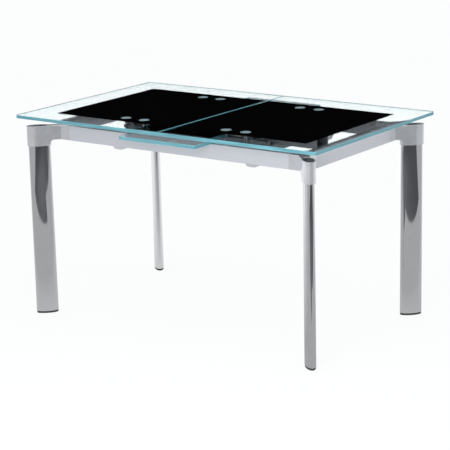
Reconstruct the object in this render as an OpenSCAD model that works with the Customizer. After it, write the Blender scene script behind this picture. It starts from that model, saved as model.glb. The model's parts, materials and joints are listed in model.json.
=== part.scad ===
// Extending dining table: two glass halves slide apart, an extension leaf rises between them.
// Millimetres, +Z up. X runs along the table, the origin is on the floor under its centre.
// Front is -Y and left is -X.

/* [Table top] */
// Length of the closed table
table_l = 1300; // [1200:10:1600]
// Width of the table
table_w = 800; // [640:10:1000]
// Height of the upper glass surface above the floor
table_h = 760; // [720:5:800]
// Thickness of the glass of both halves and of the leaf
glass_t = 12; // [8:1:12]
// Radius of the glass corners in plan
corner_r = 10; // [3:1:25]
// Gap between the two closed halves
seam_gap = 1; // [0.6:0.2:3]
// Clear border at the two ends of the black lacquer
end_border = 105; // [60:5:140]
// Clear border along the front and the back
side_border = 108; // [60:4:140]
// Clear strip beside the seam
seam_border = 4; // [2:1:12]
// Thickness of the lacquer layer under the glass
lacquer_t = 0.3; // [0.2:0.1:1]

/* [Extension leaf] */
// Length that the leaf adds to the table
leaf_l = 330; // [260:10:400]
// Free height between the stored leaf and the halves above it
leaf_drop = 18; // [14:1:30]
// Distance of the leaf's discs from its long edges
leaf_disc_inset = 65; // [40:5:80]
// Thickness of the plate that carries the leaf
carrier_t = 4; // [3:1:5]

/* [Discs and posts] */
// Diameter of the discs bonded under the glass
disc_d = 39; // [30:1:50]
// Thickness of the discs
disc_t = 5; // [4:1:6]
// Distance from the stored leaf's edge to the inner disc's centre
disc_clear = 15; // [12:1:40]
// Distance between the two discs of a pair
disc_pitch = 82; // [60:2:100]
// Diameter of the posts that carry the halves
post_d = 11; // [8:1:14]
// Distance from the outer face of the guide to the posts' axis
post_reach = 47; // [40:1:60]

/* [Legs] */
// Distance of a leg's axis from the end of the closed top
leg_inset_x = 62; // [55:1:90]
// Distance of a leg's axis from the long edge of the top
leg_inset_y = 55; // [50:1:90]
// Long size of the oval leg
leg_a = 82; // [70:1:90]
// Short size of the oval leg
leg_b = 36.6; // [30:0.2:44]
// Wall of the leg tube
leg_wall = 2; // [1.5:0.5:3]
// Height of the foot pad
foot_h = 8; // [5:1:12]
// Wall of the sleeve round the top of a leg
sleeve_wall = 3.8; // [3:0.2:6]
// Height of the sleeve
sleeve_h = 75; // [60:1:90]
// Width of the neck between sleeve and frame
neck_w = 34; // [24:1:38]

/* [Frame] */
// Distance from the top surface down to the upper edge of the rails
rail_drop = 43; // [40:1:60]
// Height of the rails
rail_h = 53; // [45:1:60]
// Thickness of the rails
rail_t = 25; // [20:1:30]
// Wall of the rail tubes
rail_wall = 2; // [1.5:0.5:3]
// Distance of the end rails' outer face from the end of the closed top
overhang_x = 96; // [90:1:130]
// Distance of the long rails' outer face from the edge of the top
overhang_y = 99; // [95:1:130]
// Distance from an end rail's outer face to the end of a long rail
wing_x = 74; // [65:1:90]
// Distance from a long rail's outer face to the end of an end rail
wing_y = 56; // [50:1:90]
// Length of the spigots that plug into the rails
spigot_l = 40; // [30:1:60]

/* [Slides] */
// Length of the two guide channels
guide_l = 626; // [600:2:700]
// Width of a guide channel
guide_w = 26; // [22:1:30]
// Height of a guide channel
guide_h = 43; // [40:1:46]
// Sheet thickness of the guide channels and of the central beam
sheet_t = 3; // [2:0.5:3]
// Distance from a rail's inner face to a guide's outer face
guide_inset = 88; // [80:1:100]
// Clearance between slider and guide on every side
slide_gap = 0.5; // [0.4:0.1:1]
// Width of the lips along the open side of a guide
lip_h = 8; // [5:1:10]
// Diameter of the pins that stop the sliders
stop_d = 7; // [5:1:8]
// Height of the hangers and cross bars under the guides
hanger_h = 27; // [20:1:32]
// Width of a hanger
hanger_w = 30; // [24:1:40]
// Distance of the hangers' axes from the guide ends
hanger_inset = 21; // [18:1:30]
// Width of a cross bar
cross_w = 24; // [20:1:30]
// Distance from a hanger's axis to the neighbouring cross bar's axis
cross_pitch = 57; // [50:1:70]

/* [Rack and pinion] */
// Tooth module of the racks and the pinion
gear_m = 2; // [2]
// Number of pinion teeth
gear_n = 20; // [20]
// Thickness of pinion and racks
gear_t = 10; // [8:1:12]
// Side play between meshing teeth
backlash = 0.24; // [0.16:0.04:0.4]
// Pinion shaft diameter
shaft_d = 12; // [10:1:14]
// Radial play of the pinion on its shaft and of the leaf pins in their bushes
running_gap = 0.05; // [0.03:0.01:0.1]
// Length of the central beam
beam_l = 850; // [820:10:900]
// Width of the central beam
beam_w = 74; // [72:2:84]
// Height of the central beam
beam_h = 37; // [34:1:37]

/* [Leaf lift] */
// Diameter of the four pins that guide the leaf
pin_d = 10; // [8:1:12]
// Outer diameter of the bushes that hold them
bush_d = 18; // [16:1:20]
// Distance of the pins' axes from the beam's side
pin_side = 38; // [30:1:40]
// Distance of the pins' axes from the centre along the table
pin_x = 120; // [100:5:125]

/* [Hidden] */

$fn = 48;
eps = 0.01;

// Colours
chrome = [0.80, 0.81, 0.83];
satin = [0.72, 0.73, 0.76];
steel = [0.45, 0.48, 0.51];
zinc = [0.66, 0.67, 0.68];
clear = [0.80, 0.93, 0.93, 0.45];
lacquer = [0.02, 0.02, 0.02];
frosted = [0.62, 0.74, 0.78];
black = [0.05, 0.05, 0.05];
nylon = [0.90, 0.90, 0.86];

// Top
half_l = table_l / 2;
half_w = table_w / 2;
glass_z = table_h - glass_t;
travel = leaf_l / 2;
leaf_top = glass_z - leaf_drop;
leaf_z = leaf_top - glass_t;

// Frame
rail_top = table_h - rail_drop;
rail_z = rail_top - rail_h;
rail_x = half_l - overhang_x;
rail_y = half_w - overhang_y;
inner_x = rail_x - rail_t;
inner_y = rail_y - rail_t;
long_rail_end = rail_x - wing_x;
end_rail_end = rail_y - wing_y;
spigot_gap = 0.2;
spigot_t = rail_t - 2 * rail_wall - 2 * spigot_gap;
spigot_h = rail_h - 2 * rail_wall - 2 * spigot_gap;

// Legs and sleeves: half sizes of the ovals
leg_x = half_l - leg_inset_x;
leg_y = half_w - leg_inset_y;
leg_ra = leg_a / 2;
leg_rb = leg_b / 2;
socket_gap = 0.2;
sleeve_ra = leg_ra + sleeve_wall;
sleeve_rb = leg_rb + sleeve_wall;
sleeve_top = rail_top + 1;
sleeve_z = sleeve_top - sleeve_h;
web_t = 8;
web_z = sleeve_top - 28;
leg_top = web_z - 0.4;
leg_plate_t = 10;
leg_bolt_d = 8;
bolt_head_d = 13;
bolt_head_h = 8;
cap_h = 9;
cap_recess = 1.5;
// Where the sides of the neck meet the outer faces of the two rails
neck_x = leg_x - (leg_y - rail_y) - neck_w / sqrt(2);
neck_y = leg_y - (leg_x - rail_x) - neck_w / sqrt(2);
inner_cut = 16;
fillet_r = 16;
foot_plug_h = 18;

// Slides
guide_top = rail_top - 6;
guide_z = guide_top - guide_h;
guide_out = inner_y - guide_inset;
guide_in = guide_out - guide_w;
guide_mid = (guide_out + guide_in) / 2;
hanger_z = guide_z - hanger_h;
hanger_x = guide_l / 2 - hanger_inset;
hanger_plate_t = 4;
hanger_screw_z = [guide_z + 12, guide_z + 30];
cross_x = hanger_x - cross_pitch;
post_y = guide_out + post_reach;
post_x1 = travel + disc_clear;
post_x2 = post_x1 + disc_pitch;
slider_start = 8;
slider_end = post_x2 + 20;
slider_z = guide_z + sheet_t + slide_gap;
slider_h = guide_h - 2 * sheet_t - 2 * slide_gap;
slider_w = guide_w - 2 * sheet_t - 2 * slide_gap;
plate_t = 6;
plate_z = guide_z + 16;
plate_edge = 15;
stop_x = slider_end - 17;
stop_z = guide_z + guide_h / 2;
stop_reach = 6;
tie_w = 25;
tie_t = 5;
tie_x = post_x2 - 12;
tie_z = guide_top + 1;
block_t = 12;
block_y = guide_out + 2;

// Small fixings
screw_d = 6;
screw_head_d = 11;
screw_head_h = 2.5;
screw_l = 14;
bolt_d = 6;
bolt_end = guide_z + sheet_t;
thread_gap = 0.05;
hole_gap = 0.2;
beam_bolt_y = 15;
rail_screw_z = [rail_z + rail_h / 2 - 12, rail_z + rail_h / 2 + 12];
tie_screw_d = 5;
tie_head_d = 9;
tie_head_h = 2.8;
hex_w = 11.5;
hex_h = 4;
stud_d = 8;
nut_w = 15;
nut_h = 6.5;
collar_w = 2.5;
collar_h = 6;
leaf_screw_d = 5;
leaf_head_d = 10;
leaf_head_h = 2;
end_play = 0.4;

// Rack and pinion
pitch_r = gear_m * gear_n / 2;
base_r = pitch_r * cos(20);
tip_r = pitch_r + gear_m;
root_r = pitch_r - 1.25 * gear_m;
gear_pitch = PI * gear_m;
gear_z = guide_z + sheet_t + 9;
rack_back = pitch_r + 12;
rack_first = -ceil((travel + 16) / gear_pitch);
rack_last = 3;
shoulder_d = 20;

// Leaf carrier and lift
carrier_top = leaf_z - disc_t;
carrier_z = carrier_top - carrier_t;
carrier_x = travel - 22.5;
carrier_y = guide_in - 12;
leaf_disc_x = travel - leaf_disc_inset;
leaf_disc_y = carrier_y - 30;
pin_y = beam_w / 2 + pin_side;
bracket_w = 30;
bush_z = hanger_z + 6;

// ---- Shared shapes ----

// Oval outline with half sizes a and b
module oval(a, b) {
    polygon([for (t = [0 : 5 : 355]) [a * cos(t), b * sin(t)]]);
}

// Puts a shape drawn for the back right corner at the corner with signs sx and sy
module at_corner(sx, sy) {
    mirror([sx < 0 ? 1 : 0, 0, 0]) mirror([0, sy < 0 ? 1 : 0, 0]) children();
}

// Repeats a shape drawn for the back right at all four corners
module at_four() {
    for (sx = [-1, 1], sy = [-1, 1]) at_corner(sx, sy) children();
}

// Turns a shape so that its X axis runs outwards along the corner's diagonal at the leg
module on_leg() {
    translate([leg_x, leg_y, 0]) rotate([0, 0, 45]) children();
}

// Cylinder along X from x, or along Y from y
module rod_x(d, l) rotate([0, 90, 0]) cylinder(d = d, h = l);
module rod_y(d, l) rotate([-90, 0, 0]) cylinder(d = d, h = l);

// Box between two opposite corners
module block(p, q) {
    translate(p) cube(q - p);
}

// ---- Frame ----

module rail_tube(l) {
    difference() {
        translate([-l / 2, -rail_t, rail_z]) cube([l, rail_t, rail_h]);
        translate([-l / 2 - 1, rail_wall - rail_t, rail_z + rail_wall])
            cube([l + 2, rail_t - 2 * rail_wall, rail_h - 2 * rail_wall]);
        for (s = [-1, 1], z = rail_screw_z)
            translate([s * (l / 2 - spigot_l / 2), -rail_t - 1, z])
                rod_y(screw_d + 2 * hole_gap, rail_wall + 2);
    }
}

module long_rail(s) {
    mirror([0, s < 0 ? 1 : 0, 0]) difference() {
        translate([0, rail_y, 0]) rail_tube(2 * long_rail_end);
        for (sx = [-1, 1], z = hanger_screw_z)
            translate([sx * hanger_x, inner_y - 1, z]) rod_y(screw_d + 2 * hole_gap, rail_wall + 2);
    }
}

module end_rail(s) {
    rotate([0, 0, s < 0 ? 90 : -90]) translate([0, rail_x, 0]) rail_tube(2 * end_rail_end);
}

module front_rail() { color(satin) long_rail(-1); }
module back_rail() { color(satin) long_rail(1); }
module left_rail() { color(satin) end_rail(-1); }
module right_rail() { color(satin) end_rail(1); }

// Corner casting: two wings flush with the rails, spigots, a diagonal neck and the leg sleeve
module corner_casting() {
    difference() {
        union() {
            translate([0, 0, rail_z]) linear_extrude(rail_h) polygon([
                [long_rail_end, rail_y], [neck_x, rail_y], [rail_x, neck_y], [rail_x, end_rail_end],
                [inner_x, end_rail_end], [inner_x, inner_y - inner_cut],
                [inner_x - inner_cut, inner_y], [long_rail_end, inner_y]
            ]);
            neck_l = (leg_x - neck_x) * sqrt(2);
            on_leg() translate([-neck_l, -neck_w / 2, rail_z]) cube([neck_l, neck_w, rail_h]);
            on_leg() neck_fillet();
            on_leg() translate([0, 0, sleeve_z]) linear_extrude(sleeve_h) oval(sleeve_ra, sleeve_rb);
            spigots();
        }
        on_leg() translate([0, 0, sleeve_z - 1]) linear_extrude(web_z - sleeve_z + 1)
            oval(leg_ra + socket_gap, leg_rb + socket_gap);
        on_leg() translate([0, 0, web_z + web_t]) linear_extrude(sleeve_h)
            oval(leg_ra + socket_gap, leg_rb + socket_gap);
        on_leg() translate([0, 0, web_z - 1]) cylinder(d = leg_bolt_d + 1, h = web_t + 2);
        for (z = rail_screw_z) {
            translate([long_rail_end - spigot_l / 2, inner_y, z])
                rod_y(screw_d + 2 * thread_gap, screw_l + 2);
            translate([inner_x, end_rail_end - spigot_l / 2, z])
                rod_x(screw_d + 2 * thread_gap, screw_l + 2);
        }
    }
}

// Round fillet under the neck, where it runs down into the sleeve
module neck_fillet() {
    difference() {
        translate([-sleeve_ra - fillet_r + 6, -neck_w / 2, rail_z - fillet_r])
            cube([fillet_r + 10, neck_w, fillet_r]);
        translate([-sleeve_ra - fillet_r + 6, -neck_w / 2 - 1, rail_z - fillet_r])
            rod_y(2 * fillet_r, neck_w + 2);
    }
}

module spigots() {
    translate([long_rail_end - spigot_l, rail_y - (rail_t + spigot_t) / 2, rail_z + (rail_h - spigot_h) / 2])
        cube([spigot_l + 1, spigot_t, spigot_h]);
    translate([rail_x - (rail_t + spigot_t) / 2, end_rail_end - spigot_l, rail_z + (rail_h - spigot_h) / 2])
        cube([spigot_t, spigot_l + 1, spigot_h]);
}

module front_left_corner() { color(satin) at_corner(-1, -1) corner_casting(); }
module front_right_corner() { color(satin) at_corner(1, -1) corner_casting(); }
module back_left_corner() { color(satin) at_corner(-1, 1) corner_casting(); }
module back_right_corner() { color(satin) at_corner(1, 1) corner_casting(); }

// Oval tube, closed at the top by a threaded plate
module leg() {
    on_leg() difference() {
        translate([0, 0, foot_h]) linear_extrude(leg_top - foot_h) oval(leg_ra, leg_rb);
        translate([0, 0, foot_h - 1]) linear_extrude(leg_top - leg_plate_t - foot_h + 1)
            oval(leg_ra - leg_wall, leg_rb - leg_wall);
        translate([0, 0, leg_top - leg_plate_t - 1])
            cylinder(d = leg_bolt_d + 2 * thread_gap, h = leg_plate_t + 2);
    }
}

module front_left_leg() { color(chrome) at_corner(-1, -1) leg(); }
module front_right_leg() { color(chrome) at_corner(1, -1) leg(); }
module back_left_leg() { color(chrome) at_corner(-1, 1) leg(); }
module back_right_leg() { color(chrome) at_corner(1, 1) leg(); }

// Foot: a pad under the tube and a plug inside it
module foot() {
    on_leg() {
        linear_extrude(foot_h) oval(leg_ra - 0.8, leg_rb - 0.8);
        translate([0, 0, foot_h - eps]) linear_extrude(foot_plug_h)
            oval(leg_ra - leg_wall - socket_gap, leg_rb - leg_wall - socket_gap);
    }
}

module front_left_foot() { color(black) at_corner(-1, -1) foot(); }
module front_right_foot() { color(black) at_corner(1, -1) foot(); }
module back_left_foot() { color(black) at_corner(-1, 1) foot(); }
module back_right_foot() { color(black) at_corner(1, 1) foot(); }

module sleeve_caps() {
    color(black) at_four() on_leg()
        translate([0, 0, sleeve_top - cap_recess - cap_h]) linear_extrude(cap_h) oval(leg_ra, leg_rb);
}

module leg_bolts() {
    color(zinc) at_four() on_leg() {
        translate([0, 0, web_z + web_t]) cylinder(d = bolt_head_d, h = bolt_head_h);
        translate([0, 0, leg_top - leg_plate_t - 6])
            cylinder(d = leg_bolt_d, h = web_z + web_t - leg_top + leg_plate_t + 7);
    }
}

// Pan head screw along +Y: its head lies before y = 0
module screw_y() {
    translate([0, -screw_head_h, 0]) rod_y(screw_head_d, screw_head_h);
    translate([0, -1, 0]) rod_y(screw_d, screw_l + 1);
}

module rail_screws() {
    color(zinc) at_four() {
        for (z = rail_screw_z) {
            translate([long_rail_end - spigot_l / 2, inner_y, z]) screw_y();
            translate([inner_x, end_rail_end - spigot_l / 2, z]) rotate([0, 0, -90]) screw_y();
        }
        for (z = hanger_screw_z) translate([hanger_x, inner_y - hanger_plate_t, z]) screw_y();
    }
}

// ---- Guides and their supports ----

// Channel that is open towards the outside, with a lip along each edge of the opening
module guide(s) {
    mirror([0, s < 0 ? 1 : 0, 0]) difference() {
        block([-guide_l / 2, guide_in, guide_z], [guide_l / 2, guide_out, guide_top]);
        block([-guide_l / 2 - 1, guide_in + sheet_t, guide_z + sheet_t],
              [guide_l / 2 + 1, guide_out - sheet_t, guide_top - sheet_t]);
        block([-guide_l / 2 - 1, guide_out - sheet_t - 1, guide_z + sheet_t + lip_h],
              [guide_l / 2 + 1, guide_out + 1, guide_top - sheet_t - lip_h]);
        for (sx = [-1, 1]) {
            for (x = [hanger_x, cross_x]) translate([sx * x, guide_mid, guide_z - 1])
                cylinder(d = bolt_d + 2 * thread_gap, h = sheet_t + 2);
            translate([sx * stop_x, guide_in - 1, stop_z])
                rod_y(stop_d + 2 * thread_gap, sheet_t + 2);
        }
    }
}

module front_guide() { color(steel) guide(-1); }
module back_guide() { color(steel) guide(1); }

// Hanger: an arm under the guide, mitred at its outer end, and a plate screwed to the rail
module hanger() {
    reach = inner_y - hanger_plate_t;
    mitre = hanger_h - 5;
    difference() {
        union() {
            translate([hanger_x - hanger_w / 2, 0, 0]) rotate([90, 0, 90]) linear_extrude(hanger_w) polygon([
                [guide_in, hanger_z], [reach - mitre, hanger_z], [reach, hanger_z + mitre],
                [reach, guide_z], [guide_in, guide_z]
            ]);
            block([hanger_x - hanger_w / 2, reach, hanger_z + mitre],
                  [hanger_x + hanger_w / 2, inner_y, guide_z + 38]);
        }
        translate([hanger_x, guide_mid, hanger_z - 1]) cylinder(d = bolt_d + 2 * hole_gap, h = hanger_h + 2);
        for (z = hanger_screw_z) translate([hanger_x, reach - 1, z])
            rod_y(screw_d + 2 * hole_gap, hanger_plate_t + 2);
    }
}

module guide_hangers() { color(satin) at_four() hanger(); }

// Tube across the table under both guides and the central beam
module cross_bar(s) {
    wall = 2;
    difference() {
        block([s * cross_x - cross_w / 2, -guide_out, hanger_z],
              [s * cross_x + cross_w / 2, guide_out, guide_z]);
        block([s * cross_x - cross_w / 2 + wall, -guide_out - 1, hanger_z + wall],
              [s * cross_x + cross_w / 2 - wall, guide_out + 1, guide_z - wall]);
        for (y = [-guide_mid, -beam_bolt_y, beam_bolt_y, guide_mid])
            translate([s * cross_x, y, hanger_z - 1]) cylinder(d = bolt_d + 2 * hole_gap, h = hanger_h + 2);
    }
}

module left_cross_bar() { color(steel) cross_bar(-1); }
module right_cross_bar() { color(steel) cross_bar(1); }

// Open channel along the middle, which holds the racks and the pinion
module central_beam() {
    color(steel) difference() {
        block([-beam_l / 2, -beam_w / 2, guide_z], [beam_l / 2, beam_w / 2, guide_z + beam_h]);
        block([-beam_l / 2 - 1, sheet_t - beam_w / 2, guide_z + sheet_t],
              [beam_l / 2 + 1, beam_w / 2 - sheet_t, guide_z + beam_h + 1]);
        for (x = [cross_x, pin_x], sx = [-1, 1], sy = [-1, 1])
            translate([sx * x, sy * beam_bolt_y, guide_z - 1])
                cylinder(d = bolt_d + 2 * thread_gap, h = sheet_t + 2);
        translate([0, 0, guide_z - 1]) cylinder(d = shaft_d, h = sheet_t + 2);
    }
}

// Hexagon bolts that go up through hangers, cross bars and lift brackets
module mechanism_bolts() {
    places = [[hanger_x, guide_mid], [cross_x, guide_mid], [cross_x, beam_bolt_y], [pin_x, beam_bolt_y]];
    color(zinc) at_four() for (p = places) translate([p[0], p[1], hanger_z]) {
        translate([0, 0, -hex_h]) cylinder(d = hex_w, h = hex_h, $fn = 6);
        translate([0, 0, -1]) cylinder(d = bolt_d, h = bolt_end - hanger_z + 1);
    }
}

module slide_stop_pins() {
    color(zinc) at_four() translate([stop_x, guide_in, stop_z]) {
        translate([0, -3, 0]) rod_y(stop_d + 5, 3);
        translate([0, -1, 0]) rod_y(stop_d, sheet_t + stop_reach + 1);
    }
}

// ---- Rack and pinion ----

// Involute function of the pressure angle at radius r, in degrees
function involute(r) = let (p = acos(base_r / r)) tan(p) * 180 / PI - p;
// Half angle of a pinion tooth at radius r
function half_tooth(r) = 90 / gear_n - backlash / 2 / pitch_r * 180 / PI + involute(pitch_r) - involute(r);
flank = [for (i = [0 : 4]) base_r + (tip_r - base_r) * i / 4];
function polar(r, a) = [r * cos(a), r * sin(a)];
// One pinion tooth round the angle a
function tooth(a) = concat(
    [polar(root_r, a - half_tooth(base_r))],
    [for (r = flank) polar(r, a - half_tooth(r))],
    [for (i = [4 : -1 : 0]) polar(flank[i], a + half_tooth(flank[i]))],
    [polar(root_r, a + half_tooth(base_r))]
);

module sync_pinion() {
    color(nylon) translate([0, 0, gear_z]) difference() {
        linear_extrude(gear_t)
            polygon([for (k = [0 : gear_n - 1]) each tooth(90 + (k + 0.5) * 360 / gear_n)]);
        translate([0, 0, -1]) cylinder(d = shaft_d + 2 * running_gap, h = gear_t + 2);
    }
}

module pinion_shaft() {
    color(zinc) {
        translate([0, 0, guide_z]) cylinder(d = shaft_d, h = gear_z + gear_t - guide_z + 4);
        translate([0, 0, guide_z + sheet_t])
            cylinder(d = shoulder_d, h = gear_z - guide_z - sheet_t - end_play);
    }
}

module pinion_washer() {
    color(zinc) translate([0, 0, gear_z + gear_t + end_play]) difference() {
        cylinder(d = shoulder_d, h = 1.6);
        translate([0, 0, -1]) cylinder(d = shaft_d, h = 4);
    }
}

// Ledges that carry the racks and hold them against the pinion
module rack_guides() {
    l = 60;
    color(nylon) for (s = [0, 1]) rotate([0, 0, 180 * s]) {
        block([-l, shoulder_d / 2 + 1, guide_z + sheet_t], [l, beam_w / 2 - sheet_t, gear_z - end_play]);
        block([-l, rack_back + end_play, guide_z + sheet_t], [l, beam_w / 2 - sheet_t, gear_z + gear_t]);
    }
}

// Rack of the right half: a toothed bar in the beam with a lug up to the cross tie
module rack() {
    w = gear_pitch / 4 - backlash / 2;
    root_w = w + 1.25 * gear_m * tan(20);
    tip_w = w - gear_m * tan(20);
    rack_x = tie_x + tie_w;
    translate([0, 0, gear_z]) linear_extrude(gear_t) polygon(concat(
        [[rack_x, rack_back], [(rack_first - 0.5) * gear_pitch, rack_back]],
        [for (k = [rack_first : rack_last]) each [
            [k * gear_pitch - root_w, pitch_r + 1.25 * gear_m], [k * gear_pitch - tip_w, pitch_r - gear_m],
            [k * gear_pitch + tip_w, pitch_r - gear_m], [k * gear_pitch + root_w, pitch_r + 1.25 * gear_m]
        ]],
        [[rack_x, pitch_r + 1.25 * gear_m]]
    ));
    block([tie_x, rack_back - 8, gear_z], [rack_x, rack_back, tie_z]);
}

module right_rack() { color(zinc) rack(); }
module left_rack() { color(zinc) rotate([0, 0, 180]) rack(); }

// ---- Sliding halves, drawn for the right one ----

// Places the shapes of the right half on the left one by a half turn
module side(s) {
    rotate([0, 0, s < 0 ? 180 : 0]) children();
}

// Plate with rounded outer corners between x0 and x1, mirrored about the X axis
module half_plate(x0, x1, y, r) {
    difference() {
        translate([x0, -y]) square([x1 - x0, 2 * y]);
        for (s = [-1, 1]) translate([x1 - r, s > 0 ? y - r : -y - 1]) square(r + 1);
    }
    for (s = [-1, 1]) translate([x1 - r, s * (y - r)]) circle(r);
}

module half_glass() {
    translate([0, 0, glass_z]) linear_extrude(glass_t) half_plate(seam_gap / 2, half_l, half_w, corner_r);
}

// Places of the discs and posts of one half
module at_posts() {
    for (x = [post_x1, post_x2], s = [-1, 1]) translate([x, s * post_y, 0]) children();
}

module half_black_panel() {
    difference() {
        block([seam_gap / 2 + seam_border, side_border - half_w, glass_z - lacquer_t],
              [half_l - end_border, half_w - side_border, glass_z]);
        at_posts() translate([0, 0, glass_z - 1]) cylinder(d = disc_d + 0.4, h = 2);
    }
}

module half_discs() {
    at_posts() translate([0, 0, glass_z - disc_t]) cylinder(d = disc_d, h = disc_t);
}

module half_posts() {
    at_posts() {
        translate([0, 0, plate_z + plate_t]) cylinder(d = post_d, h = glass_z - disc_t - plate_z - plate_t);
        translate([0, 0, plate_z + plate_t]) cylinder(d = post_d + 2 * collar_w, h = collar_h);
        translate([0, 0, plate_z - nut_h - 2.5]) cylinder(d = stud_d, h = plate_t + nut_h + 3.5);
    }
}

module half_post_nuts() {
    at_posts() translate([0, 0, plate_z - nut_h]) difference() {
        cylinder(d = nut_w, h = nut_h, $fn = 6);
        translate([0, 0, -1]) cylinder(d = stud_d + 2 * thread_gap, h = nut_h + 2);
    }
}

// Slider: a bar in the guide, a plate that reaches out to the posts and a block for the tie
module slider(s) {
    mirror([0, s < 0 ? 1 : 0, 0]) difference() {
        union() {
            block([slider_start, guide_in + sheet_t + slide_gap, slider_z],
                  [slider_end, guide_in + sheet_t + slide_gap + slider_w, slider_z + slider_h]);
            block([post_x1 - plate_edge, guide_mid, plate_z],
                  [slider_end, post_y + plate_edge, plate_z + plate_t]);
            block([tie_x, block_y, plate_z], [tie_x + tie_w, block_y + block_t, tie_z]);
        }
        stop_slot();
        for (x = [post_x1, post_x2]) translate([x, post_y, plate_z - 1])
            cylinder(d = stud_d + 2 * thread_gap, h = plate_t + 2);
        translate([tie_x + tie_w / 2, block_y + block_t / 2, tie_z - 16])
            cylinder(d = tie_screw_d + 2 * thread_gap, h = 17);
    }
}

// Slot in the slider's back that the stop pin runs in
module stop_slot() {
    r = stop_d / 2 + slide_gap;
    y = guide_in + sheet_t;
    depth = stop_reach + slide_gap;
    block([stop_x - travel, y, stop_z - r], [stop_x, y + depth, stop_z + r]);
    for (x = [stop_x - travel, stop_x]) translate([x, y, stop_z]) rod_y(2 * r, depth);
}

module half_tie() {
    difference() {
        block([tie_x, -block_y - block_t, tie_z], [tie_x + tie_w, block_y + block_t, tie_z + tie_t]);
        for (s = [-1, 1]) translate([tie_x + tie_w / 2, s * (block_y + block_t / 2), tie_z - 1])
            cylinder(d = tie_screw_d + 2 * hole_gap, h = tie_t + 2);
    }
}

module half_tie_screws() {
    for (s = [-1, 1]) translate([tie_x + tie_w / 2, s * (block_y + block_t / 2), tie_z]) {
        translate([0, 0, tie_t]) cylinder(d = tie_head_d, h = tie_head_h);
        translate([0, 0, -14]) cylinder(d = tie_screw_d, h = tie_t + 15);
    }
}

module right_glass() { color(clear) half_glass(); }
module right_black_panel() { color(lacquer) half_black_panel(); }
module right_glass_discs() { color(frosted) half_discs(); }
module right_posts() { color(chrome) half_posts(); }
module right_post_nuts() { color(zinc) half_post_nuts(); }
module right_front_slider() { color(steel) slider(-1); }
module right_back_slider() { color(steel) slider(1); }
module right_cross_tie() { color(steel) half_tie(); }
module right_tie_screws() { color(zinc) half_tie_screws(); }

module left_glass() { color(clear) side(-1) half_glass(); }
module left_black_panel() { color(lacquer) side(-1) half_black_panel(); }
module left_glass_discs() { color(frosted) side(-1) half_discs(); }
module left_posts() { color(chrome) side(-1) half_posts(); }
module left_post_nuts() { color(zinc) side(-1) half_post_nuts(); }
module left_front_slider() { color(steel) side(-1) slider(1); }
module left_back_slider() { color(steel) side(-1) slider(-1); }
module left_cross_tie() { color(steel) side(-1) half_tie(); }
module left_tie_screws() { color(zinc) side(-1) half_tie_screws(); }

// ---- Extension leaf and its lift ----

module leaf_glass() {
    color(clear) translate([0, 0, leaf_z]) linear_extrude(glass_t)
        translate([-travel, -half_w]) square([leaf_l, table_w]);
}

module at_leaf_discs() {
    at_four() translate([leaf_disc_x, leaf_disc_y, 0]) children();
}

module leaf_black_panel() {
    color(lacquer) difference() {
        block([-travel, side_border - half_w, leaf_z - lacquer_t], [travel, half_w - side_border, leaf_z]);
        at_leaf_discs() translate([0, 0, leaf_z - 1]) cylinder(d = disc_d + 0.4, h = 2);
    }
}

module leaf_discs() {
    color(frosted) at_leaf_discs() translate([0, 0, carrier_top]) difference() {
        cylinder(d = disc_d, h = disc_t);
        translate([0, 0, -1]) cylinder(d = leaf_screw_d + 2 * thread_gap, h = disc_t - 0.8);
    }
}

module leaf_carrier() {
    color(steel) difference() {
        block([-carrier_x, -carrier_y, carrier_z], [carrier_x, carrier_y, carrier_top]);
        at_leaf_discs() translate([0, 0, carrier_z - 1]) {
            cylinder(d = leaf_head_d + 2 * hole_gap, h = leaf_head_h + 1);
            cylinder(d = leaf_screw_d + 2 * hole_gap, h = carrier_t + 2);
        }
    }
}

// Flat head screws from under the carrier into the discs
module leaf_screws() {
    color(zinc) at_leaf_discs() translate([0, 0, carrier_z]) {
        cylinder(d = leaf_head_d, h = leaf_head_h);
        cylinder(d = leaf_screw_d, h = carrier_t + disc_t - 2);
    }
}

module at_pins() {
    at_four() translate([pin_x, pin_y, 0]) children();
}

module leaf_guide_pins() {
    color(chrome) at_pins() translate([0, 0, hanger_z + 3]) cylinder(d = pin_d, h = carrier_z - hanger_z - 3);
}

module lift_bushes() {
    color(nylon) at_pins() difference() {
        translate([0, 0, bush_z]) cylinder(d = bush_d, h = carrier_z - bush_z - end_play);
        translate([0, 0, hanger_z]) cylinder(d = pin_d + 2 * running_gap, h = carrier_z - hanger_z + 1);
    }
}

// Bars under the beam that hold the bushes
module lift_brackets() {
    color(steel) for (s = [-1, 1]) translate([s * pin_x, 0, 0]) difference() {
        block([-bracket_w / 2, -pin_y - bush_d, hanger_z], [bracket_w / 2, pin_y + bush_d, guide_z]);
        for (sy = [-1, 1]) {
            translate([0, sy * pin_y, bush_z]) cylinder(d = bush_d, h = hanger_h);
            translate([0, sy * pin_y, hanger_z - 1]) cylinder(d = pin_d + 2, h = hanger_h);
            translate([0, sy * beam_bolt_y, hanger_z - 1])
                cylinder(d = bolt_d + 2 * hole_gap, h = hanger_h + 2);
        }
    }
}

// ---- Nodes ----

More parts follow.
